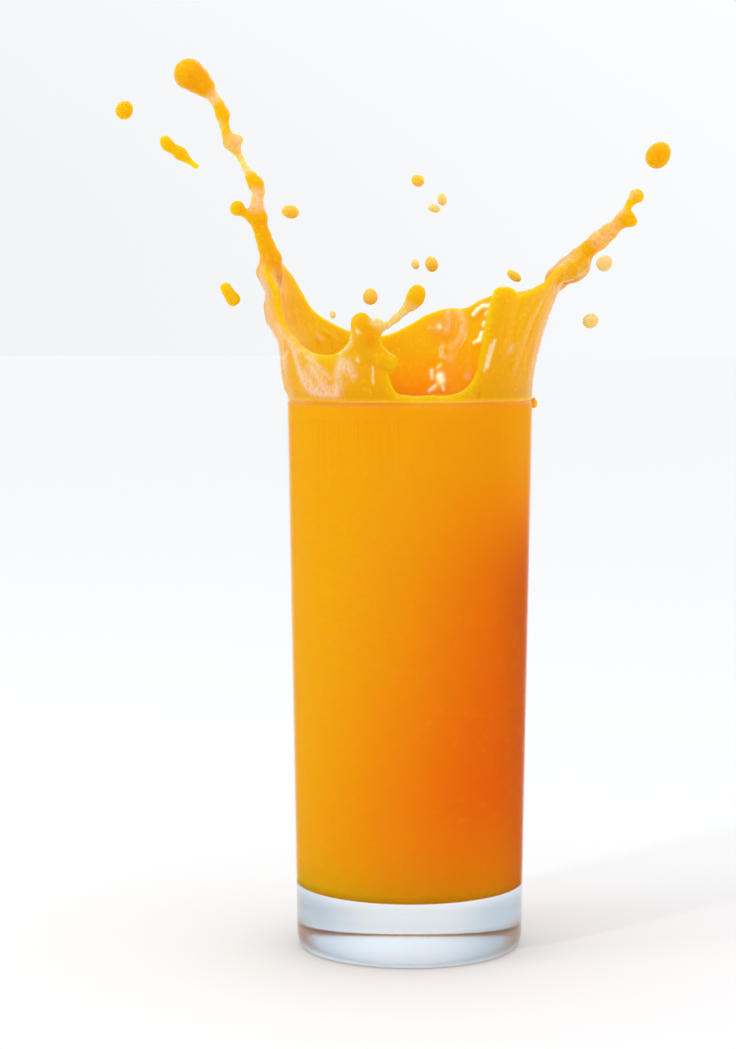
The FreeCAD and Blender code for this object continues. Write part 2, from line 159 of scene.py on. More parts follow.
# FROTH is where fine bubbles make the juice pale.
FROTH = (
    (1, 1.3, 0.8, ((-66.5, 19.0), (-62.5, 15.6), (-59.5, 12.8))),
    (1, 0.6, 0.6, ((-58.0, 13.2), (-53.5, 13.1))),
    (1, 1.4, 0.9, ((-59.5, 12.0), (-58.0, 9.4), (-56.2, 7.0), (-53.4, 4.4), (-50.0, 2.6))),
    (1, 1.7, 1.0, ((-54.5, 6.0), (-51.0, 3.6), (-46.5, 2.2), (-41.0, 1.8), (-37.0, 2.0))),
    (1, 1.5, 1.0, ((-49.5, 9.0), (-46.8, 7.4), (-44.0, 5.2), (-42.4, 3.8))),
    (1, 0.8, 0.8, ((-51.5, 11.6), (-46.5, 11.2))),
    (1, 0.8, 0.7, ((-46.0, 10.4), (-42.0, 8.4), (-38.6, 6.2))),
    (1, 1.3, 0.9, ((-36.8, 2.4), (-33.6, 4.4), (-33.8, 7.2), (-31.4, 9.6))),
    (1, 1.4, 0.9, ((-31.4, 9.6), (-28.2, 9.6), (-27.0, 7.2))),
    (1, 0.7, 0.9, ((-25.6, 16.8), (-27.0, 14.8), (-29.5, 13.6), (-32.0, 12.6))),
    (1, 0.9, 0.8, ((-71.8, 12.7), (-68.0, 10.1))),
    (1, 0.9, 0.8, ((-73.7, 9.0), (-67.0, 12.6))),
    (1, 0.8, 0.7, ((-76.0, 12.2), (-71.5, 8.2))),
    (1, 2.4, 0.3, ((-84.0, 34.0), (-78.0, 28.0), (-74.0, 22.0), (-72.0, 17.0))),
    (-1, 0.9, 0.8, ((156.5, 23.2), (153.6, 20.9), (153.4, 17.8))),
    (-1, 0.8, 0.6, ((153.4, 17.8), (155.2, 15.4), (158.8, 13.2), (158.4, 10.6))),
    (-1, 0.8, 0.7, ((161.6, 23.2), (160.2, 20.5), (160.8, 17.6))),
    (-1, 1.6, 0.5, ((165.2, 19.3), (164.8, 19.1))),
    (-1, 0.9, 0.7, ((227.7, 16.0), (227.2, 15.7))),
    (-1, 0.9, 0.7, ((147.5, 6.0), (147.3, 5.6))),
    (1, 0.9, 0.7, ((48.6, 13.9), (48.2, 13.3))),
)
PALE_NECKS = (   # (x, y, z, reach, strength): where a strand is thin and light shows through it
    (-51.5, -3.4, 225.2, 1.5, 0.9), (-45.7, -3.0, 213.4, 1.9, 0.8), (-47.9, -3.0, 211.6, 1.3, 0.7),
    (-44.6, -2.7, 209.3, 1.5, 0.8), (-43.2, -2.5, 206.9, 1.5, 0.7), (-40.2, -2.0, 199.3, 1.9, 1.0),
    (-40.5, -2.0, 197.3, 1.7, 0.9), (50.4, 3.0, 188.6, 2.2, 0.7), (53.3, 3.4, 191.0, 2.0, 0.5),
    (55.8, 3.6, 195.2, 1.2, 0.8), (59.2, 4.0, 200.6, 1.2, 0.6), (-3.2, -34.5, 167.8, 2.2, 0.7),
    (-6.5, -34.5, 165.7, 1.5, 0.8), (-8.7, -34.3, 166.7, 1.3, 1.0), (-1.0, -34.5, 169.3, 1.5, 0.5),
    (-50.2, -3.5, 218.0, 1.2, 0.4),
)
ABOVE_RIM, FADE_IN = 0.3, 1.5      # strokes and ripples start above the rim, over this rise
SIDE_SHARPNESS = 3                 # how fast a stroke ends where the wall turns to its other side
RIPPLE_DEPTH = 0.11
RIPPLES = (   # (strength, cells for each radian, each mm up and each mm out, offset)
    (1.6, 8, 0.10, 0.12, 0), (0.5, 23, 0.20, 0.25, 7),
)

# ---- Light and shade painted into the colours of the splash's inside -----------------------
INSIDE_SHARPNESS, INSIDE_RISE = 2.5, 3.0   # how soon the wall counts as inside, turned and up
SHADE_MIDDLE, SHADE_WIDTH = 2.0, 9.0       # across, where the painted shade is, a deeper orange
SHADE_TOP = 14.0                           # how high above the rim that goes
SHADE_FRONT, SHADE_FADE = 5.0, 15.0        # it fades in over this far back from there
OUTSIDE_FROM = 0.3                         # how far outwards a face may turn and still have it
PAINTED_GLOW_MIDDLE, PAINTED_GLOW_WIDTH = -26.0, 9.0       # across, where painted light makes the inner faces yellower

# ---- The strands: (x, y, z, radius), root first ---------------------------------------------
STRANDS = {
    "left": (
        (-36.6, -1.0, 179.5, 2.7), (-36.6, -1.0, 183.0, 2.7),
        (-37.8, -1.2, 186.2, 2.2), (-38.8, -1.4, 189.2, 2.0), (-39.6, -1.6, 191.6, 1.9),
        (-40.1, -1.8, 193.9, 2.4), (-40.3, -1.9, 196.4, 1.8), (-40.2, -2.0, 198.6, 1.5),
        (-39.8, -2.1, 200.6, 1.6), (-40.5, -2.2, 202.5, 2.0), (-41.7, -2.3, 204.3, 1.5),
        (-43.1, -2.4, 206.4, 0.8), (-44.5, -2.6, 209.2, 0.8), (-46.0, -2.8, 211.9, 1.4),
        (-46.9, -2.9, 213.5, 2.2), (-48.0, -3.0, 215.3, 1.3), (-48.7, -3.1, 217.8, 1.2),
        (-49.1, -3.2, 220.6, 1.8), (-50.2, -3.3, 223.2, 1.4), (-51.6, -3.4, 225.2, 1.4),
        (-53.7, -3.5, 227.7, 2.5), (-55.7, -3.6, 229.5, 3.4), (-57.8, -3.7, 231.0, 4.1),
    ),
    "right_web": ((38.4, -12.0, 178.0, 1.6), (41.4, -6.5, 179.9, 2.5), (44.0, -1.0, 181.7, 3.0)),
    "left_branch": (
        (-40.0, -1.8, 193.6, 1.5), (-42.0, -2.0, 194.2, 1.0), (-43.3, -2.2, 194.8, 0.9),
        (-45.4, -2.4, 196.2, 2.0),
    ),
    "left_bud": (
        (-46.9, -2.9, 213.5, 1.2), (-45.8, -2.9, 213.9, 0.9), (-44.8, -2.9, 214.2, 1.0),
    ),
    "right": (
        (39.6, 2.4, 178.0, 2.5),
        (42.3, 2.6, 180.3, 3.4), (45.0, 2.8, 183.2, 2.9), (47.4, 3.0, 185.9, 2.2),
        (50.2, 3.2, 188.1, 2.5), (52.8, 3.4, 190.3, 2.2), (54.9, 3.6, 192.1, 1.7),
        (56.8, 3.8, 194.0, 2.0), (57.6, 3.9, 196.6, 0.9), (58.7, 4.0, 198.3, 1.1),
        (60.1, 4.1, 199.8, 2.0),
    ),
    "right_lobe": (
        (42.8, 2.6, 180.6, 2.4), (44.5, 2.7, 180.4, 2.4), (46.0, 2.8, 180.3, 1.5),
    ),
    "right_knob": (
        (57.0, 3.8, 193.9, 1.6), (58.3, 3.9, 193.6, 1.7), (59.2, 4.0, 193.0, 1.2),
    ),
    "front": (
        (-11.5, -34.0, 163.5, 1.4), (-8.6, -34.0, 164.6, 1.2), (-6.3, -34.0, 165.5, 0.9),
        (-4.1, -34.0, 167.2, 1.0), (-1.8, -34.0, 169.3, 1.1), (-0.3, -34.0, 170.8, 1.6),
        (0.7, -34.0, 172.3, 2.1), (1.2, -34.0, 173.6, 2.1),
    ),
    "front_lobe": (
        (-10.0, -33.0, 158.4, 1.6), (-7.6, -33.6, 157.4, 2.0), (-5.6, -33.8, 156.2, 2.2),
    ),
    "front_bud": ((-9.4, -34.2, 165.4, 0.9), (-8.7, -34.3, 166.6, 0.8)),
    "finger": (
        (-11.2, -31.6, 157.0, 1.2), (-12.0, -32.4, 162.0, 2.0), (-12.8, -32.8, 166.4, 2.4),
    ),
    "left_bead": ((-38.0, -1.2, 180.6, 1.0), (-39.4, -1.2, 179.6, 0.9)),
    "left_bulge": ((-36.5, -3.0, 167.0, 1.2), (-36.9, -3.0, 170.6, 1.3)),
}
LONG_STRANDS = ("left", "right")
STRAND_REACH, ROOT_REACH = 1.6, 3.0    # how softly a strand, or a long one, joins the rest
CHAIN_REACH = 0.7                      # and the parts of a strand each other
POOL_REACH = 3.0                       # and the splash's wall the juice it stands in

# ---- The bead on the outside of the rim -------------------------------------------------------
BEAD_SIZE = (1.0, 1.3, 1.4)
BEAD_OUT = 0.35                        # how far its middle is outside the rim
BEAD_SAG, BEAD_UNEVEN = 0.22, 0.05     # how much fuller it is below, and how uneven
BEAD_LUMPS = 2                         # cells of that unevenness in its radius
BEAD_SIDES = 48

# ---- The field's grid --------------------------------------------------------------------------
CELL = 0.5
FIELD_LOW = (-64.0, -41.0, 139.5)
FIELD_HIGH = (65.0, 41.0, 238.0)
FIELD_CUT = 1.0                    # the juice in the field ends this far above its floor
BAND = 4.0                         # distances are kept to this far from the surface
LOCAL = BAND + 1                   # and worked out to this far from a strand
AXIS_GUARD = 0.001                 # keeps a point on the axis from being divided by nothing
SHARP_ANGLE = math.radians(60)     # faces that meet more sharply than this show an edge


def smooth_min(a, b, reach):
    """The smaller of two distances, rounded where they are within reach of each other."""
    mix = np.clip(0.5 + 0.5 * (b - a) / reach, 0.0, 1.0)
    return b + (a - b) * mix - reach * mix * (1.0 - mix)


def bell(values, middle, width):
    """1 at the middle, falling off smoothly over the width to either side."""
    return np.exp(-(((values - middle) / width) ** 2))


def edge_table(steps=1440):
    """The splash edge's height at evenly spaced angles, a smooth curve through SPLASH_EDGE."""
    angles = np.array([a for a, _ in SPLASH_EDGE], float)
    heights = np.array([h for _, h in SPLASH_EDGE], float)
    angles = np.concatenate([angles - 360, angles, angles + 360])
    heights = np.tile(heights, 3)
    slopes = np.gradient(heights, angles)
    wanted = np.linspace(-180, 180, steps + 1)
    place = np.searchsorted(angles, wanted, side="right") - 1
    span = angles[place + 1] - angles[place]
    t = (wanted - angles[place]) / span
    h0, h1 = heights[place], heights[place + 1]
    m0, m1 = slopes[place] * span, slopes[place + 1] * span
    value = (
        h0 * (1 + 2 * t) * (1 - t) ** 2 + m0 * t * (1 - t) ** 2
        + h1 * t * t * (3 - 2 * t) - m1 * t * t * (1 - t)
    )
    return wanted, value


def wall_offset(angle, up):
    """How far the outside of the splash's wall stands out of the plain cylinder of its foot."""
    right = (1 + np.sin(np.radians(angle))) / 2
    lean = LEFT_LEAN + (RIGHT_LEAN - LEFT_LEAN) * right
    wave_up, wave_out = zip(*LEFT_WAVE)
    leftness = np.clip(np.cos(np.radians(angle - LEFT_SIDE)), 0, 1) ** 2
    wave = leftness * np.interp(up, wave_up, wave_out)
    flare = RIGHT_FLARE * right * np.maximum(up, 0) ** 2
    return lean * np.maximum(up, LEAN_FLOOR) + flare + wave


def splash_field(x, y, z):
    """Distance to the splash's wall, with its rounded edge."""
    angle = np.degrees(np.arctan2(x, -y))
    radius = np.hypot(x, y)
    table_angle, table_height = edge_table()
    height = np.interp(angle, table_angle, table_height)
    steepness = np.gradient(table_height, np.radians(table_angle)) / RIM_RADIUS
    slant = np.interp(angle, table_angle, 1 / np.sqrt(1 + steepness ** 2))
    up = z - RIM_HEIGHT
    outside = RIM_RADIUS - FOOT_INSET + wall_offset(angle, up)
    share = np.clip(up / np.maximum(height, LEAST_HEIGHT), 0, 1)
    half = WALL_HALF + ROOT_SWELL * (1 - share) ** 3
    for root, width, thicker in STRAND_ROOTS:
        turned = (angle - root + 180) % 360 - 180
        grown = np.clip((up - ROOT_START) / ROOT_RISE, 0, 1) ** ROOT_EASE
        half = half + thicker * bell(turned, 0, width) * grown
    above = (up - height) * slant + half
    return np.hypot(radius - outside + half, np.maximum(above, 0)) - half


def outer_radius(z):
    """Of the glass's outside, at a height."""
    return FOOT_RADIUS + (RIM_RADIUS - FOOT_RADIUS) * z / RIM_HEIGHT


def inner_radius(z):
    """Of the glass's inside, at a height."""
    share = (z - JUICE_FLOOR) / (RIM_HEIGHT - JUICE_FLOOR)
    return outer_radius(z) - HEEL_WALL + (HEEL_WALL - RIM_WALL) * share


def pool_field(x, y, z):
    """Distance to the top of the juice in the glass, a pool that the splash stands in."""
    return np.maximum(np.hypot(x, y) - (inner_radius(z) + INTO_WALL - POOL_INSET), z - POOL_LEVEL)


def strand_field(points, x, y, z):
    """Distance to a chain of round cones through (x, y, z, radius) points."""
    total = None
    for (ax, ay, az, ar), (bx, by, bz, br) in zip(points, points[1:]):
        dx, dy, dz = bx - ax, by - ay, bz - az
        length = dx * dx + dy * dy + dz * dz
        t = np.clip(((x - ax) * dx + (y - ay) * dy + (z - az) * dz) / length, 0, 1)
        eased = t * t * (3 - 2 * t)
        far = np.sqrt((x - ax - t * dx) ** 2 + (y - ay - t * dy) ** 2 + (z - az - t * dz) ** 2)
        piece = far - (ar + (br - ar) * eased)
        total = piece if total is None else smooth_min(total, piece, CHAIN_REACH)
    return total


def juice_field():
    """The distance to the splash, its strands and its pool, on the whole grid."""
    axes = [np.arange(lo, hi, CELL, dtype=np.float32) for lo, hi in zip(FIELD_LOW, FIELD_HIGH)]
    x, y, z = np.meshgrid(*axes, indexing="ij", sparse=True)
    field = smooth_min(splash_field(x, y, z), pool_field(x, y, z), POOL_REACH)
    # nothing in the glass's wall below the rim, and nothing near the grid's floor
    in_glass = np.minimum(RIM_HEIGHT - INTO_RIM - z, np.hypot(x, y) - inner_radius(z) - INTO_WALL)
    field = np.maximum(field, in_glass)
    field = np.maximum(field, FIELD_LOW[2] + FIELD_CUT - z)
    for name, points in STRANDS.items():
        low = [min(p[i] - p[3] for p in points) - LOCAL for i in range(3)]
        high = [max(p[i] + p[3] for p in points) + LOCAL for i in range(3)]
        part = tuple(
            slice(*np.searchsorted(axis, (lo, hi))) for axis, lo, hi in zip(axes, low, high)
        )
        local = [axis[cut] for axis, cut in zip(axes, part)]
        near = strand_field(points, *np.meshgrid(*local, indexing="ij", sparse=True))
        reach = ROOT_REACH if name in LONG_STRANDS else STRAND_REACH
        field[part] = smooth_min(field[part], near, reach)
    return np.clip(field, -BAND, BAND).astype(np.float32)


def near_stroke(along, up, points):
    """Distance, on the wall rolled out flat, to a line through (angle, height) points."""
    nearest = np.full(along.shape, np.inf)
    flat = [(math.radians(a) * RIM_RADIUS, h) for a, h in points]
    for (ax, ah), (bx, bh) in zip(flat, flat[1:]):
        dx, dh = bx - ax, bh - ah
        t = np.clip(((along - ax) * dx + (up - ah) * dh) / (dx * dx + dh * dh), 0, 1)
        nearest = np.minimum(nearest, np.hypot(along - ax - t * dx, up - ah - t * dh))
    return nearest


def strokes_sum(strokes, points, facing):
    """The strength of a table of strokes at points of the splash, added up."""
    up = points[:, 2] - RIM_HEIGHT
    total = np.zeros(len(points))
    for side, width, strength, path in strokes:
        middle = path[len(path) // 2][0]
        angle = np.degrees(np.arctan2(points[:, 0], -points[:, 1]))
        angle = (angle - middle + 180) % 360 - 180 + middle
        away = near_stroke(np.radians(angle) * RIM_RADIUS, up, path)
        on_side = np.clip(side * facing * SIDE_SHARPNESS, 0, 1)
        total += strength * bell(away, 0, width) * on_side
    return total


def ripples(points):
    """Noise that is drawn out along the flow: up the wall and out along the strands."""
    values = np.zeros(len(points))
    for k, (x, y, z) in enumerate(points):
        angle = math.atan2(x, -y)
        radius = math.hypot(x, y)
        for strength, turn, rise, out, offset in RIPPLES:
            place = (angle * turn + offset, z * rise, radius * out)
            values[k] += strength * noise.noise(place)
    return values


def splash_colours(points, facing, above):
    """How frothy each point is, with painted light where strands are thin, and its painted
    highlights, painted shade, inward turn and painted yellower light.
    """
    x, y, up = points[:, 0], points[:, 1], points[:, 2] - RIM_HEIGHT
    froth_and_painted_light = strokes_sum(FROTH, points, facing) * above
    # painted light where a strand is thin and light would show through it, in the same mask as the
    # bubbles
    for *neck, reach, strength in PALE_NECKS:
        away = np.linalg.norm(points - neck, axis=1)
        froth_and_painted_light = np.maximum(froth_and_painted_light, strength * np.clip(2 - away / reach, 0, 1))
    inside = np.clip(-INSIDE_SHARPNESS * facing, 0, 1) * np.clip(up / INSIDE_RISE, 0, 1)
    low = np.clip(1 - up / SHADE_TOP, 0, 1)
    back = np.clip((y - SHADE_FRONT) / SHADE_FADE, 0, 1)
    return {
        "froth_and_painted_light": froth_and_painted_light,
        # painted highlights: white glints
        "painted_glint": strokes_sum(PAINTED_GLINTS, points, facing) * above,
        # painted shade, low at the back
        "shade": bell(x, SHADE_MIDDLE, SHADE_WIDTH) * (facing < OUTSIDE_FROM) * low * back,
        # faces turned inwards, which get painted light
        "inside": inside,
        # painted light on the inner left faces
        "painted_glow": inside * bell(x, PAINTED_GLOW_MIDDLE, PAINTED_GLOW_WIDTH),
    }


def splash_mesh(name):
    """The field's surface, with its relief, and with attributes for its colours."""
    grid = openvdb.FloatGrid(BAND)
    grid.copyFromArray(juice_field())
    points, _, quads = grid.convertToPolygons(isovalue=0.0, adaptivity=0.0)
    points = points * CELL + np.array(FIELD_LOW)
    mesh = bpy.data.meshes.new(name)
    mesh.from_pydata((points * MM).tolist(), [], quads.tolist())
    normals = np.empty(len(points) * 3)
    mesh.vertex_normals.foreach_get("vector", normals)
    normals = normals.reshape(-1, 3)
    radius = np.hypot(points[:, 0], points[:, 1]) + AXIS_GUARD
    facing = (normals[:, 0] * points[:, 0] + normals[:, 1] * points[:, 1]) / radius
    above = np.clip((points[:, 2] - RIM_HEIGHT - ABOVE_RIM) / FADE_IN, 0, 1)
    relief = strokes_sum(RELIEF, points, facing) + RIPPLE_DEPTH * ripples(points)
    moved = points + normals * (relief * above)[:, None]
    mesh.vertices.foreach_set("co", (moved * MM).ravel())
    for key, values in splash_colours(points, facing, above).items():
        layer = mesh.attributes.new(key, "FLOAT", "POINT")
        layer.data.foreach_set("value", np.clip(values, 0, 1))
    mesh.update()
    return mesh


def body_profile():
    """(radius, z) up the outside of the juice in the glass, from axis to axis."""
    low = JUICE_FLOOR - INTO_WALL
    bottom = low + FLOOR_ROUND
    top = SHOULDER - SEAM
    flat = inner_radius(JUICE_FLOOR) + INTO_WALL - FLOOR_ROUND
    turns = [math.pi / 2 * k / FLOOR_STEPS for k in range(FLOOR_STEPS + 1)]
    rows = [bottom + (top - bottom) * k / BODY_ROWS for k in range(1, BODY_ROWS + 1)]
    profile = [(0.0, low)]
    for turn in turns:
        profile.append((flat + FLOOR_ROUND * math.sin(turn), bottom - FLOOR_ROUND * math.cos(turn)))
    for z in rows + [SHOULDER]:
        profile.append((inner_radius(z) + INTO_WALL, z))
    profile.append((0.0, SHOULDER))
    return profile


def body_mesh(name):
    """The juice in the glass below the splash, turned round the axis."""
    vertices, faces, rings = [], [], []
    for radius, z in body_profile():
        count = BODY_SIDES if radius else 1
        rings.append([len(vertices) + side for side in range(count)])
        for side in range(count):
            turn = 2 * math.pi * side / BODY_SIDES
            place = (radius * math.cos(turn), radius * math.sin(turn), z)
            vertices.append([value * MM for value in place])
    for lower, upper in zip(rings, rings[1:]):
        for side in range(BODY_SIDES):
            following = (side + 1) % BODY_SIDES
            if len(lower) == 1:
                faces.append((lower[0], upper[following], upper[side]))
            elif len(upper) == 1:
                faces.append((lower[side], lower[following], upper[0]))
            else:
                faces.append((lower[side], lower[following], upper[following], upper[side]))
    mesh = bpy.data.meshes.new(name)
    mesh.from_pydata(vertices, [], faces)
    mesh.update()
    return mesh


def bead_mesh(name, centre):
    """A bead of juice: a sphere squeezed to BEAD_SIZE, fuller below than above."""
    mesh = bpy.data.meshes.new(name)
    shape = bmesh.new()
    bmesh.ops.create_uvsphere(shape, u_segments=BEAD_SIDES, v_segments=BEAD_SIDES // 2, radius=1.0)
    for vertex in shape.verts:
        x, y, z = vertex.co
        fuller = 1 - BEAD_SAG * z + BEAD_UNEVEN * noise.noise(BEAD_LUMPS * vertex.co)
        offset = (BEAD_SIZE[0] * fuller * x, BEAD_SIZE[1] * fuller * y, BEAD_SIZE[2] * z)
        vertex.co = (centre + Vector(offset)) * MM
    shape.to_mesh(mesh)
    shape.free()
    smooth(mesh)
    return mesh


def smooth(mesh):
    mesh.polygons.foreach_set("use_smooth", [True] * len(mesh.polygons))


def link(name, data):
    """A new object in the scene, with a mesh, a light or a camera as its data."""
    piece = bpy.data.objects.new(name, data)
    bpy.context.scene.collection.objects.link(piece)
    return piece


def make_juice():
    """The juice in the glass and its splash, joined into one surface."""
    splash = link("splash_form", splash_mesh("splash_form"))
    body = link("juice_drink", body_mesh("juice_drink"))
    join = body.modifiers.new("join", "BOOLEAN")
    join.operation = "UNION"
    join.solver = "MANIFOLD"
    join.object = splash
    evaluated = body.evaluated_get(bpy.context.evaluated_depsgraph_get())
    mesh = bpy.data.meshes.new_from_object(evaluated)
    body.modifiers.clear()
    body.data = mesh
    bpy.data.objects.remove(splash)
    smooth(mesh)
    mesh.set_sharp_from_angle(angle=SHARP_ANGLE)
    return body


def make_bead():
    """The bead on the outside of the rim, at the height of its CAD node."""
    low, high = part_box("drop_on_rim")
    centre = (low + high) / 2 / MM
    centre.x = RIM_RADIUS + BEAD_OUT
    return link("rim_bead", bead_mesh("rim_bead", centre))


# ---- Materials: lengths and heights in metres from here on --------------------------------------
# A fade is (from, to) for a value that goes from 0 to 1, or (from, to, first, last).
UP, RIGHT, LEFT = (0, 0, 1), (1, 0, 0), (-1, 0, 0)
GLASS_IOR, JUICE_IOR = 1.46, 1.35
GLASS_THIN = (0.985, 0.995, 0.995)
GLASS_THICK = (0.79, 0.87, 0.92)         # a thick base shows the glass's own tint
GLASS_SIDE = (0.46, 0.59, 0.69)          # the more so towards its outline
SIDE_FADE = (0.0, 0.35)
BASE_TOP_FADE = (0.014, 0.018)
HEEL_ROUGHNESS = (0.002, 0.006, 0.26, 0.0)   # a fade, as are the next ones
SMEAR_CELLS, SMEAR_ROUGHNESS = 60, (0.5, 0.8, 0.0, 0.02)
MIRROR_FADE = (0.2, 0.7, 0.08, 1.0)      # the wall hardly mirrors the room but at its outline
MIRROR_BASE = (0.0165, 0.0175, 1.0, 0.0)
MIRROR_RIM = (0.1455, 0.1459, 0.0, 0.35)

OPEN_SHINE, GLASSED_SHINE = 0.11, 0.03   # how much the juice mirrors, in the air and in the glass
JUICE_DEPTH, BEAD_DEPTH = 0.03, 0.004    # how far red light gets into the juice, and into the bead
SCATTER = (1.0, 0.32, 0.03)              # and, as shares of that, red, green and blue light
# Painted light and shade: JUICE_BRIGHT is the juice where lit, and the next three colours are painted
# light to the right and painted shade to the lower right and at the right edge.
JUICE_BRIGHT = (0.82, 0.43, 0.002)
JUICE_RIGHT_PAINTED_LIGHT = (0.97, 0.46, 0.001)
JUICE_DEEP_PAINTED_SHADE = (0.85, 0.157, 0.001)
JUICE_EDGE_PAINTED_SHADE = (0.66, 0.132, 0.001)
JUICE_SPLASH = (0.555, 0.318, 0.002)
# painted light: the colour of the inner faces, standing in for how light falls inside the splash
JUICE_INSIDE_PAINTED_LIGHT = (0.58, 0.305, 0.002)
# painted light: yellower on the inner left faces, where they would be in shade
JUICE_PAINTED_GLOW = (0.57, 0.35, 0.002)
# painted shade: deeper orange low at the back of the splash's inside
JUICE_SHADE = (0.90, 0.32, 0.0005)
JUICE_PULP = (0.95, 0.5, 0.02)
# pale: for frothy bubbles, and for painted light and painted highlights
JUICE_PALE_FROTH_AND_LIGHT = (0.66, 0.44, 0.33)
# painted highlight: the near-white colour of the painted glints
JUICE_PAINTED_GLINT = (0.99, 0.96, 0.88)
RIGHT_FADE = (-0.010, 0.030)             # painted light: the juice is paler to the right
SHADE_DEEPENING = (0.9, 0.0, -0.25)            # and painted shade makes it deeper in colour this way
DEEP_FADE = (-0.045, 0.014)
DEEP_TOP_FADE = (0.095, 0.148, 1.0, 0.0)
DEEP_FLOOR_FADE = (0.015, 0.05, 0.6, 1.0)
EDGE_FADE = (0.019, 0.031)               # painted shade, deepest at its right edge
EDGE_TOP_FADE = (0.090, 0.125, 1.0, 0.0)
SPLASH_FADE = (0.1455, 0.1475)
PULP_CELLS, PULP_FADE, PULP_BUMP = 900, (0.55, 0.75, 0.0, 0.35), 0.00006
STREAK_CELLS, STREAK_STRETCH, STREAK_FADE = 1300, (1, 1, 0.7), (0.35, 0.6, 0.35, 1.0)
WET_CELLS, WET_ROUGHNESS = 250, (0.3, 0.7, 0.06, 0.16)
RIM_PAINTED_HIGHLIGHTS = (0.1461, 0.1450)             # heights of painted highlights, thin pale lines at the glass's rim
RIM_HIGHLIGHT_FADE = (0.0, 0.0004, 1.0, 0.0)
# patches that break up the painted rim highlights
PATCH_CELLS, PATCH_FADE = 45, (0.35, 0.65, 0.06, 0.34)
IN_GLASS = RIM_HEIGHT - 0.5              # mm, the juice below this is behind glass

PALE_DROPS = (
    "drop_right_high", "drop_right_low", "drop_back_twin_upper", "drop_back_twin_lower",
    "drop_middle_small", "drop_front_tiny",
)
LIGHT_DROPS = (
    "drop_back_high", "drop_middle", "drop_front_left", "drop_right_near", "drop_left_high",
)
PALE_SHARE, LIGHT_SHARE = 0.62, 0.20     # how pale these thin drops are painted, as light shining through them


def new_material(name):
    """A material, its node tree and its Principled shader."""
    material = bpy.data.materials.new(name)
    material.use_nodes = True
    tree = material.node_tree
    return material, tree, tree.nodes["Principled BSDF"]


def object_place(tree):
    return tree.nodes.new("ShaderNodeTexCoord").outputs["Object"]


def noise_node(tree, coordinates, scale, detail, stretch=(1, 1, 1)):
    """Noise in object space; scale is in cells for each metre along an axis of stretch 1."""
    mapping = tree.nodes.new("ShaderNodeMapping")
    mapping.inputs["Scale"].default_value = stretch
    texture = tree.nodes.new("ShaderNodeTexNoise")
    texture.inputs["Scale"].default_value = scale
    texture.inputs["Detail"].default_value = detail
    tree.links.new(coordinates, mapping.inputs["Vector"])
    tree.links.new(mapping.outputs[0], texture.inputs["Vector"])
    return texture.outputs["Fac"]


def fade(tree, value, low, high, first=0.0, last=1.0):
    """A value's range low to high, eased onto first to last."""
    node = tree.nodes.new("ShaderNodeMapRange")
    node.interpolation_type = "SMOOTHSTEP"
    numbers = {"From Min": low, "From Max": high, "To Min": first, "To Max": last}
    for socket, number in numbers.items():
        node.inputs[socket].default_value = number
    tree.links.new(value, node.inputs["Value"])
    return node.outputs[0]


def mix_colour(tree, share, first, second):
    """From the first colour to the second; the node's inputs 6 and 7 are its colours A and B."""
    node = tree.nodes.new("ShaderNodeMix")
    node.data_type = "RGBA"
    tree.links.new(share, node.inputs["Factor"])
    for socket, value in ((node.inputs[6], first), (node.inputs[7], second)):
        if isinstance(value, tuple):
            socket.default_value = (*value, 1)
        else:
            tree.links.new(value, socket)
    return node.outputs[2]


def mix_shader(tree, share, first, second):
    node = tree.nodes.new("ShaderNodeMixShader")
    for socket, value in zip(node.inputs, (share, first, second)):
        tree.links.new(value, socket)
    return node.outputs[0]


def maths(tree, operation, *values):
    """One step of arithmetic on node outputs and plain numbers."""
    node = tree.nodes.new("ShaderNodeMath")
    node.operation = operation
    for socket, value in zip(node.inputs, values):
        if isinstance(value, (int, float)):
            socket.default_value = value
        else:
            tree.links.new(value, socket)
    return node.outputs[0]


def bump(tree, shader, height, distance):
    node = tree.nodes.new("ShaderNodeBump")
    node.inputs["Distance"].default_value = distance
    tree.links.new(height, node.inputs["Height"])
    tree.links.new(node.outputs[0], shader.inputs["Normal"])


def along(tree, coordinates, direction):
    """How far along a direction a point lies."""
    node = tree.nodes.new("ShaderNodeVectorMath")
    node.operation = "DOT_PRODUCT"
    node.inputs[1].default_value = direction
    tree.links.new(coordinates, node.inputs[0])
    return node.outputs["Value"]


def attribute(tree, name):
    node = tree.nodes.new("ShaderNodeAttribute")
    node.attribute_name = name
    return node.outputs["Fac"]


def glass_tint(tree, height):
    """Clear in the wall, and tinted in the thick base."""
    edge_on = tree.nodes.new("ShaderNodeLayerWeight")
    side = fade(tree, edge_on.outputs["Facing"], *SIDE_FADE)
    thick = mix_colour(tree, side, GLASS_THICK, GLASS_SIDE)
    return mix_colour(tree, fade(tree, height, *BASE_TOP_FADE), thick, GLASS_THIN)


def glass_mirrors(tree, height):
    """How much of its mirroring the glass shows: little but at the rim and in the base."""
    fresnel = tree.nodes.new("ShaderNodeFresnel")
    fresnel.inputs["IOR"].default_value = GLASS_IOR
    mirrors = fade(tree, fresnel.outputs[0], *MIRROR_FADE)
    for zone in (MIRROR_BASE, MIRROR_RIM):
        mirrors = maths(tree, "MAXIMUM", mirrors, fade(tree, height, *zone))
    return mirrors


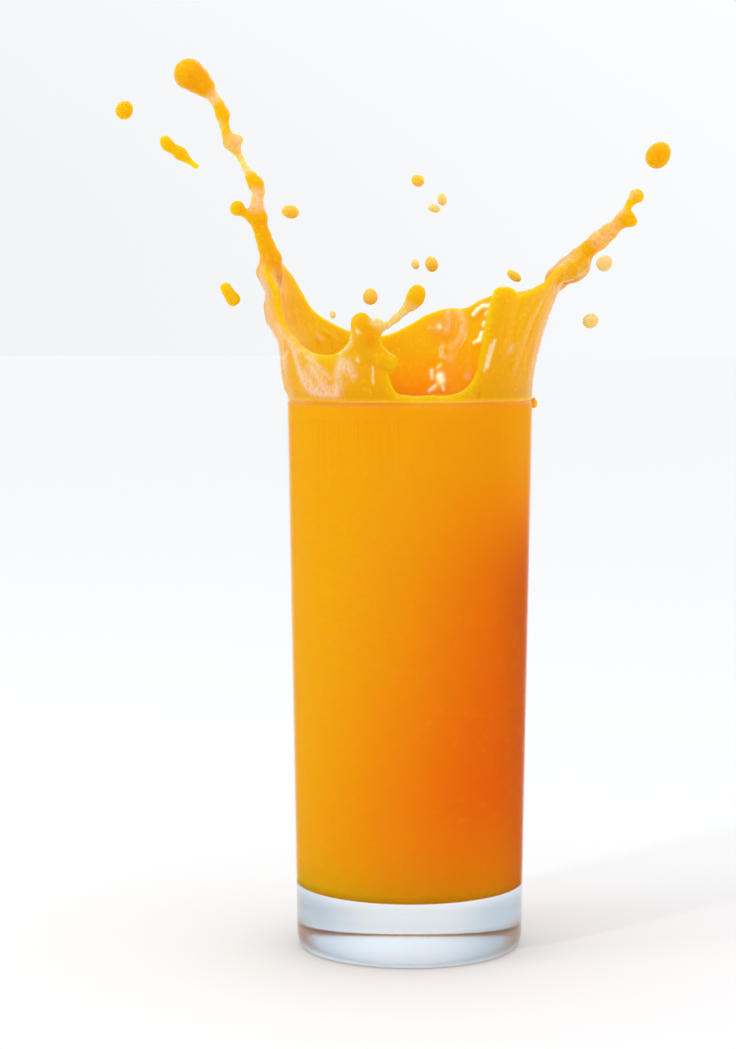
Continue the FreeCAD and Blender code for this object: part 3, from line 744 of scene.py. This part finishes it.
def glass_material():
    """Clear glass that lets light through to the juice in its shadow."""
    material, tree, shader = new_material("clear_glass")
    shader.inputs["Transmission Weight"].default_value = 1.0
    shader.inputs["IOR"].default_value = GLASS_IOR
    place = object_place(tree)
    height = along(tree, place, UP)
    colour = glass_tint(tree, height)
    tree.links.new(colour, shader.inputs["Base Color"])
    smears = fade(tree, noise_node(tree, place, SMEAR_CELLS, detail=3), *SMEAR_ROUGHNESS)
    polish = maths(tree, "ADD", smears, fade(tree, height, *HEEL_ROUGHNESS))
    tree.links.new(polish, shader.inputs["Roughness"])
    through = tree.nodes.new("ShaderNodeBsdfRefraction")
    through.inputs["IOR"].default_value = GLASS_IOR
    tree.links.new(colour, through.inputs["Color"])
    mirrors = glass_mirrors(tree, height)
    wall = mix_shader(tree, mirrors, through.outputs[0], shader.outputs[0])
    clear = tree.nodes.new("ShaderNodeBsdfTransparent").outputs[0]
    path = tree.nodes.new("ShaderNodeLightPath")
    surface = mix_shader(tree, path.outputs["Is Shadow Ray"], wall, clear)
    tree.links.new(surface, tree.nodes["Material Output"].inputs["Surface"])
    return material


def liquid_colour(tree, place, height):
    """The juice's colour: painted light paler to the right and painted shade deeper to the lower
    right in the glass, yellower in the splash, and painted light and shade on the splash's inside.
    """
    across = along(tree, place, RIGHT)
    # painted shade deeper to the lower right and at the right edge, over painted light paler to the
    # right
    deep = fade(tree, along(tree, place, SHADE_DEEPENING), *DEEP_FADE)
    deep = maths(tree, "MULTIPLY", deep, fade(tree, height, *DEEP_TOP_FADE))
    deep = maths(tree, "MULTIPLY", deep, fade(tree, height, *DEEP_FLOOR_FADE))
    edge = fade(tree, across, *EDGE_FADE)
    edge = maths(tree, "MULTIPLY", edge, fade(tree, height, *EDGE_TOP_FADE))
    colour = mix_colour(tree, fade(tree, across, *RIGHT_FADE), JUICE_BRIGHT, JUICE_RIGHT_PAINTED_LIGHT)
    colour = mix_colour(tree, deep, colour, JUICE_DEEP_PAINTED_SHADE)
    colour = mix_colour(tree, edge, colour, JUICE_EDGE_PAINTED_SHADE)
    colour = mix_colour(tree, fade(tree, height, *SPLASH_FADE), colour, JUICE_SPLASH)
    # painted light on the faces turned inwards
    colour = mix_colour(tree, attribute(tree, "inside"), colour, JUICE_INSIDE_PAINTED_LIGHT)
    # painted light, yellower on the inner left faces
    colour = mix_colour(tree, attribute(tree, "painted_glow"), colour, JUICE_PAINTED_GLOW)
    # painted shade, low at the back of the splash's inside
    return mix_colour(tree, attribute(tree, "shade"), colour, JUICE_SHADE)


def paleness(tree, place, height, thin):
    """How pale the juice is: where it is frothy, painted light where a strand or drop is thin, and
    painted highlights along the rim.
    """
    streaks = noise_node(tree, place, STREAK_CELLS, detail=4, stretch=STREAK_STRETCH)
    pale = maths(tree, "MULTIPLY", attribute(tree, "froth_and_painted_light"), fade(tree, streaks, *STREAK_FADE))
    # painted light: paler all over where a drop is thin
    pale = maths(tree, "ADD", pale, thin)
    patches = fade(tree, noise_node(tree, place, PATCH_CELLS, detail=2), *PATCH_FADE)
    # painted highlights: thin pale lines along the glass's rim, broken into patches
    for line_height in RIM_PAINTED_HIGHLIGHTS:
        away = maths(tree, "ABSOLUTE", maths(tree, "SUBTRACT", height, line_height))
        line = maths(tree, "MULTIPLY", fade(tree, away, *RIM_HIGHLIGHT_FADE), patches)
        pale = maths(tree, "MAXIMUM", pale, line)
    return pale


def juice_material(name, shine, thin=0.0, depth=JUICE_DEPTH):
    """Cloudy orange juice; thin is how much paler it is painted all over, as painted light through a
    thin drop, and depth how far light gets into it.
    """
    material, tree, shader = new_material(name)
    place = object_place(tree)
    height = along(tree, place, UP)
    pulp = noise_node(tree, place, PULP_CELLS, detail=3)
    colour = liquid_colour(tree, place, height)
    colour = mix_colour(tree, fade(tree, pulp, *PULP_FADE), colour, JUICE_PULP)
    # paler with bubbles, painted light and painted highlights
    colour = mix_colour(tree, paleness(tree, place, height, thin), colour, JUICE_PALE_FROTH_AND_LIGHT)
    # painted highlights: white glints painted over the colour
    colour = mix_colour(tree, attribute(tree, "painted_glint"), colour, JUICE_PAINTED_GLINT)
    tree.links.new(colour, shader.inputs["Base Color"])
    shader.inputs["IOR"].default_value = JUICE_IOR
    shader.inputs["Specular IOR Level"].default_value = shine
    shader.inputs["Subsurface Weight"].default_value = 1.0
    shader.inputs["Subsurface Radius"].default_value = SCATTER
    shader.inputs["Subsurface Scale"].default_value = depth
    wet = noise_node(tree, place, WET_CELLS, detail=2)
    tree.links.new(fade(tree, wet, *WET_ROUGHNESS), shader.inputs["Roughness"])
    bump(tree, shader, pulp, PULP_BUMP)
    return material


# ---- The pieces ----------------------------------------------------------------------------------
juice = make_juice()
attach(juice, "root")
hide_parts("juice")

rim_bead = make_bead()
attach(rim_bead, "root")
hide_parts("drop_on_rim")

orange_juice = juice_material("orange_juice", OPEN_SHINE)
juice.data.materials.clear()
juice.data.materials.append(orange_juice)
juice.data.materials.append(juice_material("orange_juice_in_glass", GLASSED_SHINE))
for face in juice.data.polygons:
    face.material_index = int(face.center.z / MM < IN_GLASS)
rim_bead.data.materials.append(juice_material("juice_bead", OPEN_SHINE, depth=BEAD_DEPTH))

pale_juice = juice_material("pale_juice", OPEN_SHINE, PALE_SHARE)
light_juice = juice_material("light_juice", OPEN_SHINE, LIGHT_SHARE)
node_materials = {"glass": glass_material()}
node_materials.update(dict.fromkeys(PALE_DROPS, pale_juice))
node_materials.update(dict.fromkeys(LIGHT_DROPS, light_juice))
for name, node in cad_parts.items():
    if name == "glass" or name.startswith("drop"):
        node.data.materials.clear()
        node.data.materials.append(node_materials.get(name, orange_juice))

# ---- Stage, light and camera -----------------------------------------------------------------------
FLOOR_SIZE, FLOOR_DROP = 40, 0.0002      # the floor is just below the glass's foot
FLOOR_COLOUR, FLOOR_ROUGHNESS, FLOOR_SHINE = (0.79, 0.79, 0.79, 1), 0.8, 0.2
ROOM_COLOUR = (0.97, 0.985, 1.0, 1)
ROOM_RIGHT, ROOM_LEFT = 1.08, 0.80       # the room is brighter on the side away from the key
ROOM_LIFT, LIFT_FADE = 1.3, (0.0, 0.6)   # and brighter above
SIDE_SPAN = 0.9                          # where that ends, as a share of the way to each side
TARGET = (0, 0, 0.12)                    # the lamps point here
KEY_PLACE, KEY_SIZE, KEY_POWER = (-0.9, -0.35, 0.95), 0.5, 2.0
GLINT_PLACE, GLINT_SIZE, GLINT_POWER = (-0.78, -0.80, 0.72), 0.08, 2.5
CAMERA_PLACE = (-0.0111, -0.6805, 0.1630)
CAMERA_DOWN = 4.22                       # degrees below level
CAMERA_LENS, CAMERA_SENSOR = 88.0, 36.0  # mm


def make_floor():
    bpy.ops.mesh.primitive_plane_add(size=FLOOR_SIZE, location=(0, 0, -FLOOR_DROP))
    floor = bpy.context.object
    floor.name = "floor"
    material, _, shader = new_material("pale_floor")
    shader.inputs["Base Color"].default_value = FLOOR_COLOUR
    shader.inputs["Roughness"].default_value = FLOOR_ROUGHNESS
    shader.inputs["Specular IOR Level"].default_value = FLOOR_SHINE
    floor.data.materials.append(material)


def area_light(name, place, size, power):
    """A round lamp that points at the glass."""
    data = bpy.data.lights.new(name, "AREA")
    data.shape = "ELLIPSE"
    data.size = size
    data.size_y = size
    data.energy = power
    lamp = link(name, data)
    lamp.location = place
    lamp.rotation_euler = (Vector(TARGET) - Vector(place)).to_track_quat("-Z", "Y").to_euler()


def soft_world():
    """A pale room, brighter above, and a little brighter on the side away from the key."""
    world = bpy.data.worlds.new("studio")
    world.use_nodes = True
    tree = world.node_tree
    direction = tree.nodes.new("ShaderNodeTexCoord").outputs["Generated"]
    left = along(tree, direction, LEFT)
    side = fade(tree, left, -SIDE_SPAN, SIDE_SPAN, ROOM_RIGHT, ROOM_LEFT)
    lift = fade(tree, along(tree, direction, UP), *LIFT_FADE, 1.0, ROOM_LIFT)
    background = tree.nodes["Background"]
    tree.links.new(maths(tree, "MULTIPLY", side, lift), background.inputs["Strength"])
    background.inputs["Color"].default_value = ROOM_COLOUR
    bpy.context.scene.world = world


def make_camera():
    camera = link("camera", bpy.data.cameras.new("camera"))
    camera.location = CAMERA_PLACE
    camera.rotation_euler = (math.radians(90 - CAMERA_DOWN), 0, 0)
    camera.data.lens = CAMERA_LENS
    camera.data.sensor_width = CAMERA_SENSOR
    return camera


make_floor()
soft_world()
area_light("key", KEY_PLACE, KEY_SIZE, KEY_POWER)
area_light("glint", GLINT_PLACE, GLINT_SIZE, GLINT_POWER)
bpy.context.scene.camera = make_camera()
bpy.context.scene.view_settings.view_transform = "Standard"
